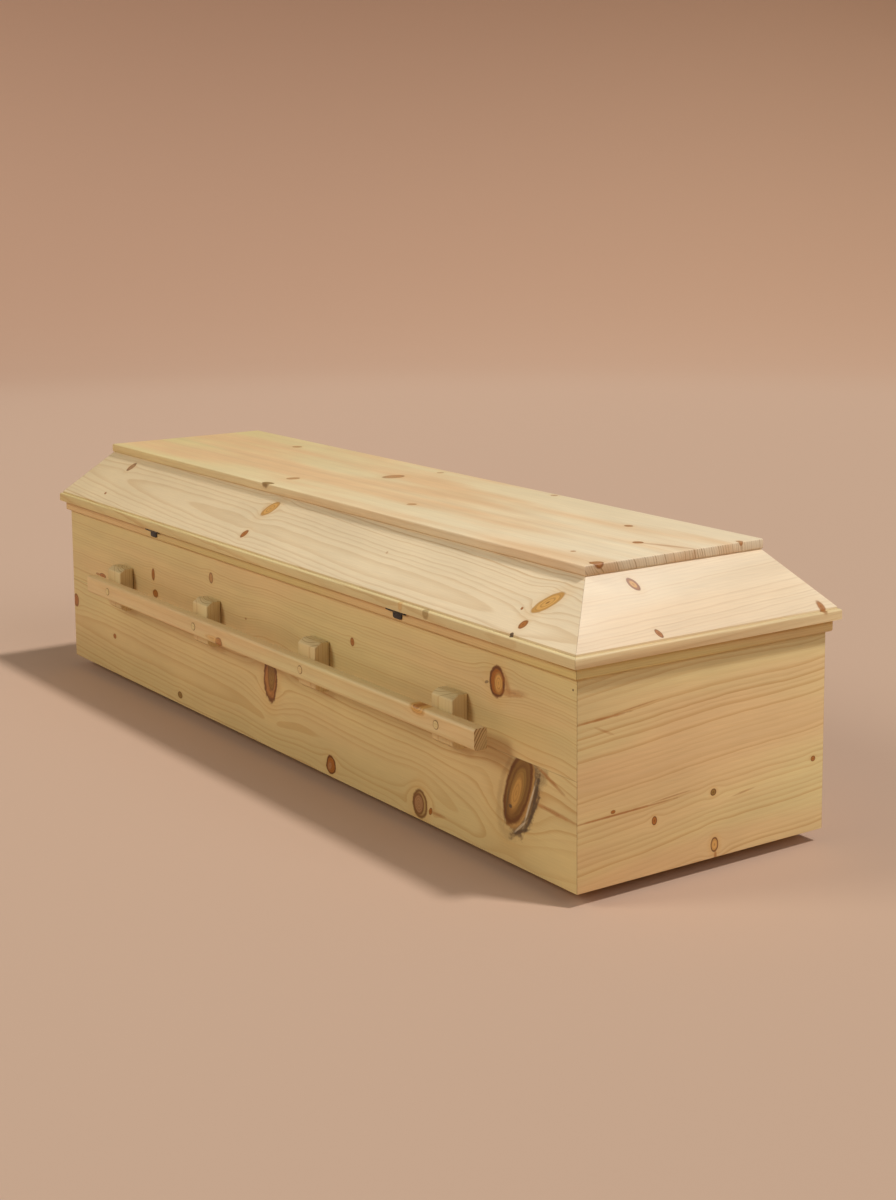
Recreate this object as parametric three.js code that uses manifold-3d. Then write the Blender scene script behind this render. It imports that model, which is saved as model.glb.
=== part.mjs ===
// A pine coffin: a mitred box on battens, a trim round its rim, a hinged lid of four sloping boards
// and a flat top, and a wooden carrying rail on blocks along each long side.
// Lengths are in millimetres. X runs from the head end to the foot end, Y from the hinge side to the
// far side, and Z up from the floor that the battens stand on. The origin is below the middle of the box.
import * as THREE from 'three';
import { mergeVertices } from 'three/addons/utils/BufferGeometryUtils.js';
import Module from 'manifold-3d';

const wasm = await Module();
wasm.setup();

// Clearances
const fitGap = 0.3; // between two pieces that touch
const lidGap = 0.6; // between the rim of the box and the closed lid

// Box
const boxLength = 2050;
const boxWidth = 576;
const boxHeight = 396;
const wallThickness = 19;
const floorThickness = 19;

// Battens under the floor
const battenCount = 3;
const battenHeight = 25;
const battenWidth = 90;
const battenSideInset = 90; // from the side of the box to the batten's end
const battenEndInset = 250; // from the end of the box to the middle of the outer batten

// Trim round the rim
const trimHeight = 22.5;
const trimThickness = 9;
const trimRound = 4; // radius of its lower outer edge

// Sloping lid boards, with a moulding worked along the lower edge
const lidOverhang = 11.5; // beyond the trim
const edgeFaceHeight = 15.5;
const nosingRadius = 4;
const filletShelf = 2.7;
const filletRise = 4;
const slopeAngle = THREE.MathUtils.degToRad(46.5);
const slopeRise = 103; // from the moulding up to the lid top
const slopeThickness = 28;

// Flat lid top
const topThickness = 19;
const topOverhang = 3; // beyond the slopes
const topEdgeRound = 3;

// Carrying rails and the blocks that hold them off the sides
const railEndInset = 217; // from the end of the box to the end of a rail in the middle of it
const railShift = 9; // of the whole rail, towards the foot end
const railHeight = 40;
const railThickness = 28;
const railRound = 6;
const handleHeight = 230; // from the lower edge of the box to the middle of the rail
const blockCount = 4;
const blockWidth = 68;
const blockDepth = 35;
const blockHeight = 102;
const blockChamferDepth = 13;
const blockChamferDrop = 9;
const blockFootInset = 141; // from the rail's foot end to the middle of the first block
const blockHeadInset = 92; // from the rail's head end to the middle of the last block
const innerBlockShift = 20; // how far the inner blocks stand off even spacing, towards the head

// Wooden plugs over the screws that hold each rail
const plugDiameter = 17;
const plugDepth = 10;
const plugCrown = 0.8;
const plugShift = 22; // from the middle of the block, towards the foot end

// Hinges between the trim and the lid
const hingeFootInset = 530; // from the foot end of the box to the middle of its hinge
const hingeHeadInset = 490; // from the head end of the box to the middle of its hinge
const barrelDiameter = 7.5;
const barrelLength = 63.5;
const boxLeafLength = 30;
const boxLeafHeight = 16; // below the barrel's axis
const boxLeafRound = 5;
const lidLeafDepth = 13; // inwards from the barrel's axis
const leafThickness = 1.8;
const pinDiameter = 3;
const pinClearance = 0.2;

// Facets on round stretches, and how far a cutter runs past the face that it opens
const roundFacets = 24;
const cornerFacets = 6;
const cutPast = 1;

// Levels and reaches that follow from the sizes above
const boxBottom = battenHeight;
const boxTop = boxBottom + boxHeight;
const lidBottom = boxTop + lidGap;
const handleLevel = boxBottom + handleHeight;
const mitreGap = fitGap / Math.SQRT2;
const edgeReach = trimThickness + lidOverhang;
const grooveReach = edgeReach - nosingRadius - filletShelf;
const grooveTop = lidBottom + edgeFaceHeight + nosingRadius + filletRise;
const slopeTop = grooveTop + slopeRise;
const slopeRun = slopeRise / Math.tan(slopeAngle);
const slopeTopReach = grooveReach - slopeRun;
const railLength = boxLength - 2 * railEndInset;
const railCentreOut = blockDepth + fitGap + railThickness / 2;
const barrelRadius = barrelDiameter / 2;
const barrelOut = trimThickness + fitGap + barrelRadius;
const barrelLevel = lidBottom + leafThickness - barrelRadius;

const paleBoard = { color: 0xe3cfa2, roughness: 0.55, metalness: 0 };
const boxBoard = { color: 0xcdb27c, roughness: 0.6, metalness: 0 };
const pinkBoard = { color: 0xb8925f, roughness: 0.6, metalness: 0 };
const railWood = { color: 0xd2ad77, roughness: 0.5, metalness: 0 };
const blockWood = { color: 0xb3935a, roughness: 0.6, metalness: 0 };
const plugWood = { color: 0xa9814f, roughness: 0.55, metalness: 0 };
const hiddenWood = { color: 0xc0a06c, roughness: 0.7, metalness: 0 };
const blackSteel = { color: 0x26241f, roughness: 0.45, metalness: 0.7 };

const coffin = new THREE.Group();

function addPiece(name, geometry, finish, parent = coffin) {
  const piece = new THREE.Mesh(geometry, new THREE.MeshStandardMaterial(finish));
  piece.name = name;
  parent.add(piece);
  return piece;
}

function toManifold(geometry) {
  const bare = geometry.clone();
  bare.deleteAttribute('normal');
  bare.deleteAttribute('uv');
  const merged = mergeVertices(bare, 1e-4);
  const vertProperties = new Float32Array(merged.attributes.position.array);
  const triVerts = new Uint32Array(merged.index.array);
  return new wasm.Manifold(new wasm.Mesh({ numProp: 3, vertProperties, triVerts }));
}

function toGeometry(solid) {
  const mesh = solid.getMesh();
  const geometry = new THREE.BufferGeometry();
  geometry.setAttribute('position', new THREE.BufferAttribute(mesh.vertProperties, 3));
  geometry.setIndex(new THREE.BufferAttribute(mesh.triVerts, 1));
  return geometry;
}

function cutFrom(geometry, cutters) {
  const cut = cutters.reduce((solid, cutter) => solid.subtract(toManifold(cutter)), toManifold(geometry));
  return toGeometry(cut);
}

function joined(geometries) {
  return toGeometry(geometries.map(toManifold).reduce((solid, next) => solid.add(next)));
}

// A box given by its lowest and highest corners.
function blockBetween(low, high) {
  const block = new THREE.BoxGeometry(high[0] - low[0], high[1] - low[1], high[2] - low[2]);
  block.translate((low[0] + high[0]) / 2, (low[1] + high[1]) / 2, (low[2] + high[2]) / 2);
  return block;
}

// A rod along X, between two places on it.
function rodAlongX(diameter, fromX, toX) {
  const rod = new THREE.CylinderGeometry(diameter / 2, diameter / 2, toX - fromX, roundFacets);
  rod.rotateZ(Math.PI / 2);
  rod.translate((fromX + toX) / 2, 0, 0);
  return rod;
}

function outlineOf(corners) {
  return new THREE.Shape(corners.map(([out, up]) => new THREE.Vector2(out, up)));
}

// A bar of one outline (distance out from the box's face, height), along X and centred on it.
function bar(outline, length) {
  const stock = new THREE.ExtrudeGeometry(outline, {
    depth: length,
    bevelEnabled: false,
    curveSegments: cornerFacets,
  });
  stock.translate(0, 0, -length / 2);
  const outwards = new THREE.Vector3(0, -1, 0);
  const upwards = new THREE.Vector3(0, 0, 1);
  const along = new THREE.Vector3(-1, 0, 0);
  stock.applyMatrix4(new THREE.Matrix4().makeBasis(outwards, upwards, along));
  return stock;
}

// The same bar with its ends cut at 45 degrees in plan, so that four of them close a frame.
function mitredBar(outline, halfLength) {
  const stock = bar(outline, 2);
  const points = stock.attributes.position;
  for (let i = 0; i < points.count; i += 1) {
    const out = -points.getY(i);
    points.setX(i, Math.sign(points.getX(i)) * (halfLength + out - mitreGap));
  }
  stock.computeVertexNormals();
  return stock;
}

// The four faces of the box, each with the turn that takes the hinge side's outline to it.
const faces = {
  front: { turn: 0, x: 0, y: -boxWidth / 2, half: boxLength / 2 },
  back: { turn: Math.PI, x: 0, y: boxWidth / 2, half: boxLength / 2 },
  foot: { turn: Math.PI / 2, x: boxLength / 2, y: 0, half: boxWidth / 2 },
  head: { turn: -Math.PI / 2, x: -boxLength / 2, y: 0, half: boxWidth / 2 },
};

function faceGroup(face) {
  const group = new THREE.Group();
  group.position.set(face.x, face.y, 0);
  group.rotation.z = face.turn;
  coffin.add(group);
  return group;
}

const faceGroups = Object.fromEntries(Object.entries(faces).map(([name, face]) => [name, faceGroup(face)]));

function wallOutline() {
  return outlineOf([
    [-wallThickness, boxBottom],
    [0, boxBottom],
    [0, boxTop],
    [-wallThickness, boxTop],
  ]);
}

function trimOutline() {
  const shape = new THREE.Shape();
  const low = boxTop - trimHeight;
  shape.moveTo(fitGap, low);
  shape.lineTo(trimThickness - trimRound, low);
  shape.absarc(trimThickness - trimRound, low + trimRound, trimRound, -Math.PI / 2, 0, false);
  shape.lineTo(trimThickness, boxTop);
  shape.lineTo(fitGap, boxTop);
  shape.closePath();
  return shape;
}

// The sloping board: a flat bearing face below, the moulding outside, and level cuts top and bottom.
function slopeOutline() {
  const levelWidth = slopeThickness / Math.sin(slopeAngle);
  const slopeAtBottom = grooveReach + (grooveTop - lidBottom) / Math.tan(slopeAngle);
  const nosingLevel = lidBottom + edgeFaceHeight;
  const shape = new THREE.Shape();
  shape.moveTo(slopeAtBottom - levelWidth, lidBottom);
  shape.lineTo(edgeReach, lidBottom);
  shape.lineTo(edgeReach, nosingLevel);
  shape.absarc(edgeReach - nosingRadius, nosingLevel, nosingRadius, 0, Math.PI / 2, false);
  shape.lineTo(grooveReach, nosingLevel + nosingRadius);
  shape.lineTo(grooveReach, grooveTop);
  shape.lineTo(slopeTopReach, slopeTop);
  shape.lineTo(slopeTopReach - levelWidth, slopeTop);
  shape.closePath();
  return shape;
}

// Hinge places, measured along X from the middle of the box.
const hingePlaces = {
  foot: boxLength / 2 - hingeFootInset,
  head: -boxLength / 2 + hingeHeadInset,
};

// The recess in the lid board's lower face that takes a hinge's barrel and lid leaf.
function hingeRecess(place) {
  const low = [place - barrelLength / 2 - fitGap, -barrelOut - barrelRadius - fitGap, lidBottom - cutPast];
  const high = [
    place + barrelLength / 2 + fitGap,
    -barrelOut + lidLeafDepth + fitGap,
    lidBottom + leafThickness + fitGap,
  ];
  return blockBetween(low, high);
}

function addBoards() {
  for (const [name, face] of Object.entries(faces)) {
    const group = faceGroups[name];
    addPiece(`box_board_${name}`, mitredBar(wallOutline(), face.half), boxBoard, group);
    addPiece(`trim_${name}`, mitredBar(trimOutline(), face.half), pinkBoard, group);
    const slope = mitredBar(slopeOutline(), face.half);
    const recesses = name === 'front' ? Object.values(hingePlaces).map(hingeRecess) : [];
    addPiece(`lid_slope_${name}`, cutFrom(slope, recesses), paleBoard, group);
  }
}

function addFloor() {
  const halfLength = boxLength / 2 - wallThickness - fitGap;
  const halfWidth = boxWidth / 2 - wallThickness - fitGap;
  const low = [-halfLength, -halfWidth, boxBottom];
  const high = [halfLength, halfWidth, boxBottom + floorThickness];
  addPiece('floor_panel', blockBetween(low, high), hiddenWood);
}

function addBattens() {
  const span = boxLength - 2 * battenEndInset;
  const halfReach = boxWidth / 2 - battenSideInset;
  for (let i = 0; i < battenCount; i += 1) {
    const x = span / 2 - (span * i) / (battenCount - 1);
    const low = [x - battenWidth / 2, -halfReach, 0];
    const high = [x + battenWidth / 2, halfReach, battenHeight - fitGap];
    addPiece(`batten_${i + 1}`, blockBetween(low, high), hiddenWood);
  }
}

// The top's edges are rounded above and below by the extrusion's bevel.
function addLidTop() {
  const halfLength = boxLength / 2 + slopeTopReach + topOverhang - topEdgeRound;
  const halfWidth = boxWidth / 2 + slopeTopReach + topOverhang - topEdgeRound;
  const outline = outlineOf([
    [-halfLength, -halfWidth],
    [halfLength, -halfWidth],
    [halfLength, halfWidth],
    [-halfLength, halfWidth],
  ]);
  const panel = new THREE.ExtrudeGeometry(outline, {
    depth: topThickness - 2 * topEdgeRound,
    bevelThickness: topEdgeRound,
    bevelSize: topEdgeRound,
    bevelSegments: cornerFacets / 2,
  });
  panel.translate(0, 0, slopeTop + fitGap + topEdgeRound);
  addPiece('lid_top', panel, paleBoard);
}

function railOutline() {
  const out = railThickness / 2 - railRound;
  const up = railHeight / 2 - railRound;
  const shape = new THREE.Shape();
  shape.absarc(out, -up, railRound, -Math.PI / 2, 0, false);
  shape.absarc(out, up, railRound, 0, Math.PI / 2, false);
  shape.absarc(-out, up, railRound, Math.PI / 2, Math.PI, false);
  shape.absarc(-out, -up, railRound, Math.PI, 1.5 * Math.PI, false);
  shape.closePath();
  return shape;
}

function railBlockOutline() {
  const up = blockHeight / 2;
  return outlineOf([
    [fitGap, -up],
    [blockDepth - blockChamferDepth, -up],
    [blockDepth, -up + blockChamferDrop],
    [blockDepth, up - blockChamferDrop],
    [blockDepth - blockChamferDepth, up],
    [fitGap, up],
  ]);
}

// Block places along X from the middle of the box, the foot end's block first.
function blockPlaces() {
  const first = railShift + railLength / 2 - blockFootInset;
  const last = railShift - railLength / 2 + blockHeadInset;
  const isInner = (i) => i > 0 && i < blockCount - 1;
  return Array.from({ length: blockCount }, (_, i) => {
    const even = first + ((last - first) * i) / (blockCount - 1);
    return isInner(i) ? even - innerBlockShift : even;
  });
}

// A round plug along Y, with a slightly crowned outer end at the given distance out.
function plugSolid(out) {
  const radius = plugDiameter / 2;
  const profile = [
    new THREE.Vector2(0, -plugDepth),
    new THREE.Vector2(radius, -plugDepth),
    new THREE.Vector2(radius, 0),
    new THREE.Vector2(radius / 2, plugCrown * 0.75),
    new THREE.Vector2(0, plugCrown),
  ];
  const plug = new THREE.LatheGeometry(profile, roundFacets);
  plug.rotateX(Math.PI);
  plug.translate(0, -out, 0);
  return plug;
}

// The bore that takes a plug, open at the rail's face.
function plugBore(x, out) {
  const radius = plugDiameter / 2 + fitGap;
  const bore = new THREE.CylinderGeometry(radius, radius, plugDepth + fitGap + cutPast, roundFacets);
  return bore.translate(x, -out + (plugDepth + fitGap - cutPast) / 2, 0);
}

function addHandle(side) {
  const handle = new THREE.Group();
  handle.position.z = handleLevel;
  faceGroups[side].add(handle);
  // Places change sign on the back, where the face's own X runs to the head end.
  const sense = side === 'front' ? 1 : -1;
  const rail = bar(railOutline(), railLength);
  rail.translate(sense * railShift, -railCentreOut, 0);
  const faceOut = railCentreOut + railThickness / 2;
  const plugPlaces = blockPlaces().map((x) => sense * (x + plugShift));
  const bores = plugPlaces.map((x) => plugBore(x, faceOut));
  addPiece(`rail_${side}`, cutFrom(rail, bores), railWood, handle);
  blockPlaces().forEach((x, i) => {
    const blockShape = bar(railBlockOutline(), blockWidth);
    const block = addPiece(`rail_block_${side}_${i + 1}`, blockShape, blockWood, handle);
    block.position.x = sense * x;
    const plug = addPiece(`rail_plug_${side}_${i + 1}`, plugSolid(faceOut), plugWood, handle);
    plug.position.x = plugPlaces[i];
  });
}

// The leaf on the trim, rounded at its lower corners, with the middle knuckle.
function boxLeaf() {
  const half = boxLeafLength / 2;
  const cornerOut = half - boxLeafRound;
  const cornerUp = -boxLeafHeight + boxLeafRound;
  const shape = new THREE.Shape();
  shape.moveTo(-half, 0);
  shape.lineTo(-half, cornerUp);
  shape.absarc(-cornerOut, cornerUp, boxLeafRound, Math.PI, 1.5 * Math.PI, false);
  shape.absarc(cornerOut, cornerUp, boxLeafRound, 1.5 * Math.PI, 0, false);
  shape.lineTo(half, 0);
  shape.closePath();
  const plate = new THREE.ExtrudeGeometry(shape, {
    depth: leafThickness,
    bevelEnabled: false,
    curveSegments: cornerFacets,
  });
  plate.rotateX(Math.PI / 2);
  plate.translate(0, barrelRadius, 0);
  const bore = rodAlongX(pinDiameter + 2 * pinClearance, -half - cutPast, half + cutPast);
  return cutFrom(joined([plate, rodAlongX(barrelDiameter, -half, half)]), [bore]);
}

// The leaf under the lid, with the outer knuckles and the pin between them, through the middle one.
function lidLeaf() {
  const half = barrelLength / 2;
  const inner = boxLeafLength / 2 + fitGap;
  const plate = blockBetween(
    [-half, 0, barrelRadius - leafThickness],
    [half, lidLeafDepth, barrelRadius],
  );
  const knuckleRoom = blockBetween(
    [-inner, -barrelDiameter, -barrelDiameter],
    [inner, barrelRadius + fitGap, barrelDiameter],
  );
  const knuckles = [rodAlongX(barrelDiameter, -half, -inner), rodAlongX(barrelDiameter, inner, half)];
  const pin = rodAlongX(pinDiameter, -inner - cutPast, inner + cutPast);
  return joined([cutFrom(plate, [knuckleRoom]), ...knuckles, pin]);
}

function addHinges() {
  for (const [name, place] of Object.entries(hingePlaces)) {
    const hinge = new THREE.Group();
    hinge.position.set(place, -barrelOut, barrelLevel);
    faceGroups.front.add(hinge);
    addPiece(`hinge_${name}_box_leaf`, boxLeaf(), blackSteel, hinge);
    addPiece(`hinge_${name}_lid_leaf`, lidLeaf(), blackSteel, hinge);
  }
}

addFloor();
addBattens();
addBoards();
addLidTop();
addHandle('front');
addHandle('back');
addHinges();

export default coffin;
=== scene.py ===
from dataclasses import dataclass, replace
from math import cos, pi, radians, sin

import bmesh
import bpy
from bpy.props import FloatProperty, FloatVectorProperty, IntProperty, PointerProperty
from mathutils import Matrix, Vector


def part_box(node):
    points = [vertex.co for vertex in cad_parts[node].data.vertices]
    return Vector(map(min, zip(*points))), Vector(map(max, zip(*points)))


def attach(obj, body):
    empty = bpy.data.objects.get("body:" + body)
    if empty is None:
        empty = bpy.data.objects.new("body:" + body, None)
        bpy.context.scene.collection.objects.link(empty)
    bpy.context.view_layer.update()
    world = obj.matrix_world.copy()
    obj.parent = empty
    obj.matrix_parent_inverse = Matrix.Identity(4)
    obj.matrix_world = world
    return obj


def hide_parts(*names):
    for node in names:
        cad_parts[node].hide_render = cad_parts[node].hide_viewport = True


bl_info = {
    "name": "Wooden coffin",
    "version": (1, 0, 0),
    "blender": (4, 5, 0),
    "location": "3D View > Sidebar > Coffin",
    "description": "Pine boards, mouldings, hand rails and hinges of a knotty pine coffin",
    "category": "Object",
}

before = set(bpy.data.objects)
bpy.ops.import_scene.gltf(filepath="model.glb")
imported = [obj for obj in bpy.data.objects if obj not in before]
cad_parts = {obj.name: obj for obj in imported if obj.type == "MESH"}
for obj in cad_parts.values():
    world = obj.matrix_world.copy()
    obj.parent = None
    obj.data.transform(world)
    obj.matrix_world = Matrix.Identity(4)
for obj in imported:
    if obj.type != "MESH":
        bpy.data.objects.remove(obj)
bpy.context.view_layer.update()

MM = 0.001
SIDES = ("front", "back", "foot", "head")
OUTWARD = {
    "front": Vector((0, -1, 0)),
    "back": Vector((0, 1, 0)),
    "foot": Vector((1, 0, 0)),
    "head": Vector((-1, 0, 0)),
}
UP = Vector((0, 0, 1))
SLOPE_ANGLE = radians(46.5)
GROOVE_LEVEL = 445.1 * MM
MOULDED_ARRIS = 0.6
RAIL_SIDES = ("front", "back")
RAIL_PLACES = (1, 2, 3, 4)


def colour_setting(name, description, default):
    """A colour that a user can change, in linear light."""
    return FloatVectorProperty(
        name=name, description=description, subtype="COLOR", size=3, min=0, max=1, default=default
    )


def length_setting(name, description, default):
    """A length that a user can change, in metres."""
    return FloatProperty(
        name=name, description=description, default=default, min=0, unit="LENGTH", precision=4
    )


class CoffinTimber(bpy.types.PropertyGroup):
    pale_sapwood: colour_setting("Pale sapwood", "Cream wood of the lid slopes", (0.92, 0.765, 0.53))
    warm_sapwood: colour_setting("Warm sapwood", "Golden wood of the box boards", (0.72, 0.57, 0.23))
    rose_patch: colour_setting("Rose patch", "Pinkish bands that run along a board", (0.80, 0.51, 0.26))
    latewood: colour_setting("Latewood", "Dark half of each growth ring", (0.52, 0.265, 0.06))
    knot_heart: colour_setting("Knot heart", "Red-brown inside of a sound knot", (0.42, 0.135, 0.012))
    knot_pale: colour_setting("Pale knot", "Orange inside of a live knot", (0.74, 0.40, 0.10))
    knot_olive: colour_setting("Olive knot", "Brown body of the largest knot", (0.31, 0.175, 0.036))
    knot_rose: colour_setting("Rose knot", "Greyish pink inside of a dead knot", (0.46, 0.25, 0.11))
    knot_stain: colour_setting("Knot stain", "Grey-black bark and resin round a knot", (0.10, 0.066, 0.036))
    knot_silver: colour_setting("Silvery bark", "Torn bark beside the largest knot", (0.70, 0.60, 0.42))
    knot_bark: colour_setting("Knot bark", "Dark ring round a knot", (0.15, 0.045, 0.006))
    ring_width: length_setting("Ring width", "Usual width of one growth ring", 0.0058)


class CoffinFinish(bpy.types.PropertyGroup):
    board_arris: length_setting("Board arris", "Softening of the sawn edges", 0.0008)
    block_arris: length_setting("Block arris", "Softening of the rail blocks' edges", 0.003)
    metal_arris: length_setting("Metal arris", "Softening of the hinge leaves' edges", 0.00025)
    arris_segments: IntProperty(name="Arris segments", description="Facets across each soft edge",
                                default=2, min=1, max=6)


class CoffinHardware(bpy.types.PropertyGroup):
    screw_head: length_setting("Screw head", "Diameter of a hinge screw's head", 0.0052)
    screw_rise: length_setting("Screw rise", "How far a screw's head stands out", 0.0006)
    screw_slot: length_setting("Screw slot", "Width of the cross recess", 0.0009)
    steel: colour_setting("Black steel", "Painted steel of the hinges", (0.012, 0.012, 0.013))


class CoffinStage(bpy.types.PropertyGroup):
    floor_colour: colour_setting("Floor", "Plain pale floor", (0.57, 0.395, 0.285))
    lens: FloatProperty(name="Lens", description="Focal length on a 36 mm sensor", default=58.41,
                        min=10, unit="CAMERA")
    camera_place: FloatVectorProperty(name="Camera place", description="Where the camera stands",
                                      subtype="XYZ", size=3, unit="LENGTH",
                                      default=(3.4947, -2.2394, 1.2366))
    camera_azimuth: FloatProperty(name="Azimuth", description="Turn of the camera from the front",
                                  subtype="ANGLE", default=radians(55.529))
    camera_elevation: FloatProperty(name="Elevation", description="Height angle of the camera",
                                    subtype="ANGLE", default=radians(8.187))
    camera_roll: FloatProperty(name="Roll", description="Tilt of the camera's horizon",
                               subtype="ANGLE", default=radians(-0.483))


class NodeWriter:
    """Adds nodes to one tree, so that a material or a tree of geometry reads as a formula."""

    def __init__(self, tree):
        self.tree = tree

    def add(self, kind, inputs=None, **settings):
        """A new node with its settings made and its inputs fed."""
        node = self.tree.nodes.new(kind)
        for name, value in settings.items():
            setattr(node, name, value)
        for key, value in (inputs or {}).items():
            self.feed(node.inputs[key], value)
        return node

    def feed(self, socket, value):
        """Links another node's output to the socket, or sets the socket to a plain value."""
        if isinstance(value, bpy.types.NodeSocket):
            self.tree.links.new(value, socket)
        else:
            socket.default_value = value

    def math(self, operation, *values, clamp=False):
        node = self.add("ShaderNodeMath", dict(enumerate(values)), operation=operation, use_clamp=clamp)
        return node.outputs[0]

    def times(self, product, *factors):
        for factor in factors:
            product = self.math("MULTIPLY", product, factor)
        return product

    def plus(self, total, *parts):
        for part in parts:
            total = self.math("ADD", total, part)
        return total

    def minus(self, first, second):
        return self.math("SUBTRACT", first, second)

    def vector(self, operation, *values):
        node = self.add("ShaderNodeVectorMath", dict(enumerate(values)), operation=operation)
        scalar = operation in ("LENGTH", "DOT_PRODUCT", "DISTANCE")
        return node.outputs["Value" if scalar else "Vector"]

    def ramp(self, value, start, end, first=0.0, last=1.0):
        """Goes smoothly from first to last while value goes from start to end."""
        inputs = {"Value": value, "From Min": start, "From Max": end, "To Min": first, "To Max": last}
        return self.add("ShaderNodeMapRange", inputs, interpolation_type="SMOOTHSTEP").outputs[0]

    def noise(self, vector, scale=1.0, detail=2.0, roughness=0.5):
        inputs = {"Vector": vector, "Scale": scale, "Detail": detail, "Roughness": roughness}
        return self.add("ShaderNodeTexNoise", inputs).outputs[0]

    def noise_along(self, value, scale=1.0, detail=1.0):
        inputs = {"W": value, "Scale": scale, "Detail": detail}
        return self.add("ShaderNodeTexNoise", inputs, noise_dimensions="1D").outputs[0]

    def mix(self, factor, first, second, blend="MIX"):
        node = self.add("ShaderNodeMix", data_type="RGBA", blend_type=blend)
        for index, value in ((0, factor), (6, first), (7, second)):
            self.feed(node.inputs[index], value)
        return node.outputs[2]

    def split(self, vector):
        return self.add("ShaderNodeSeparateXYZ", {0: vector}).outputs

    def combine(self, x, y, z):
        return self.add("ShaderNodeCombineXYZ", {0: x, 1: y, 2: z}).outputs[0]


def rgba(colour):
    return (*colour, 1.0)


def new_material(name):
    """A material, the writer of its nodes and its main shader."""
    material = bpy.data.materials.new(name)
    material.use_nodes = True
    return material, NodeWriter(material.node_tree), material.node_tree.nodes["Principled BSDF"]


def new_piece(name, data):
    """An object of the scene that shows data."""
    piece = bpy.data.objects.new(name, data)
    bpy.context.scene.collection.objects.link(piece)
    return piece


def new_group(name, inputs, outputs):
    """An empty group of shader nodes. inputs and outputs map a socket's name to its type."""
    tree = bpy.data.node_groups.new(name, "ShaderNodeTree")
    for in_out, sockets in (("INPUT", inputs), ("OUTPUT", outputs)):
        for socket, kind in sockets.items():
            tree.interface.new_socket(socket, in_out=in_out, socket_type="NodeSocket" + kind)
    writer = NodeWriter(tree)
    entry = writer.add("NodeGroupInput")
    leave = writer.add("NodeGroupOutput")
    return writer, entry.outputs, leave.inputs


GRAIN_MARKS = ("Shift", "Lift", "Halo")


def in_knot(w, given):
    """The place measured in half sizes of a knot from its middle."""
    return w.add("ShaderNodeMapping", {"Vector": given["Place"], "Location": given["Centre"],
                                       "Rotation": given["Turn"], "Scale": given["Reach"]},
                 vector_type="TEXTURE").outputs[0]


def knot_grain_group():
    """How one knot pushes the growth rings aside and tints the wood round it."""
    name = "Grain round a knot"
    if name in bpy.data.node_groups:
        return bpy.data.node_groups[name]
    push_room, push_start, push_end = 0.7, 1.2, 6.0
    swell_height, swell_start, swell_end = 0.16, 0.6, 2.4
    halo_start, halo_end = 0.9, 2.4
    marks = {mark: "Float" for mark in GRAIN_MARKS}
    inputs = {"Place": "Vector", **marks, "Centre": "Vector", "Turn": "Vector", "Reach": "Vector",
              "Bend": "Float"}
    w, given, result = new_group(name, inputs, marks)
    distance = w.vector("LENGTH", in_knot(w, given))
    along, across, _ = w.split(w.vector("SUBTRACT", given["Place"], given["Centre"]))
    size_along, size_across, _ = w.split(given["Reach"])
    area = w.times(size_along, size_across)
    along_half = w.times(along, 0.5)
    squares = w.math("MULTIPLY_ADD", across, across, w.times(along_half, along_half))
    room = w.math("MULTIPLY_ADD", area, push_room, squares)
    fade = w.times(w.ramp(distance, push_start, push_end, 1.0, 0.0), given["Bend"])
    push = w.times(w.math("DIVIDE", area, room), fade)
    w.feed(result["Shift"], w.plus(given["Shift"], w.times(across, -1.0, push)))
    swell = w.times(w.ramp(distance, swell_start, swell_end, swell_height, 0.0), given["Bend"])
    w.feed(result["Lift"], w.plus(given["Lift"], w.times(swell, w.math("POWER", area, 0.5))))
    halo = w.ramp(distance, halo_start, halo_end, given["Bend"], 0.0)
    w.feed(result["Halo"], w.math("MAXIMUM", given["Halo"], halo))
    return w.tree


def knot_face_group():
    """The face of one knot, laid over the colour of the wood: a body with rings, an edge and a core."""
    name = "Face of a knot"
    if name in bpy.data.node_groups:
        return bpy.data.node_groups[name]
    inputs = {"Place": "Vector", "Wobble": "Float", "Colour": "Color", "Cover": "Float",
              "Centre": "Vector", "Turn": "Vector", "Reach": "Vector", "Wood": "Color",
              "Bark": "Color", "Tone": "Float", "Edge": "Float", "Core": "Float", "Soft": "Float",
              "Ragged": "Float", "Rings": "Float", "Within": "Float"}
    ring_strength = 0.36
    core_start, core_end = 0.06, 0.2
    edge_middle, edge_start, edge_end = 0.93, 0.02, 0.22
    w, given, result = new_group(name, inputs, {"Colour": "Color", "Cover": "Float"})
    distance = w.math("MULTIPLY_ADD", given["Wobble"], given["Ragged"],
                      w.vector("LENGTH", in_knot(w, given)))
    start = w.minus(1.0, given["Soft"])
    end = w.plus(1.0, given["Soft"])
    inside = w.times(w.ramp(distance, start, end, 1.0, 0.0), given["Tone"], given["Within"])
    wave = w.ramp(w.math("SINE", w.times(distance, given["Rings"])), 0.0, 1.0, 0.0, ring_strength)
    core = w.times(w.ramp(distance, core_start, core_end, 1.0, 0.0), given["Core"])
    colour = w.mix(inside, given["Colour"], given["Wood"])
    off_edge = w.math("ABSOLUTE", w.minus(distance, edge_middle))
    edge = w.times(w.ramp(off_edge, edge_start, edge_end, given["Edge"], 0.0), given["Within"])
    dark = w.math("MAXIMUM", w.times(inside, w.math("MAXIMUM", wave, core)), edge)
    w.feed(result["Colour"], w.mix(dark, colour, given["Bark"]))
    w.feed(result["Cover"], w.math("MAXIMUM", given["Cover"], w.math("MAXIMUM", inside, edge)))
    return w.tree


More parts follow.
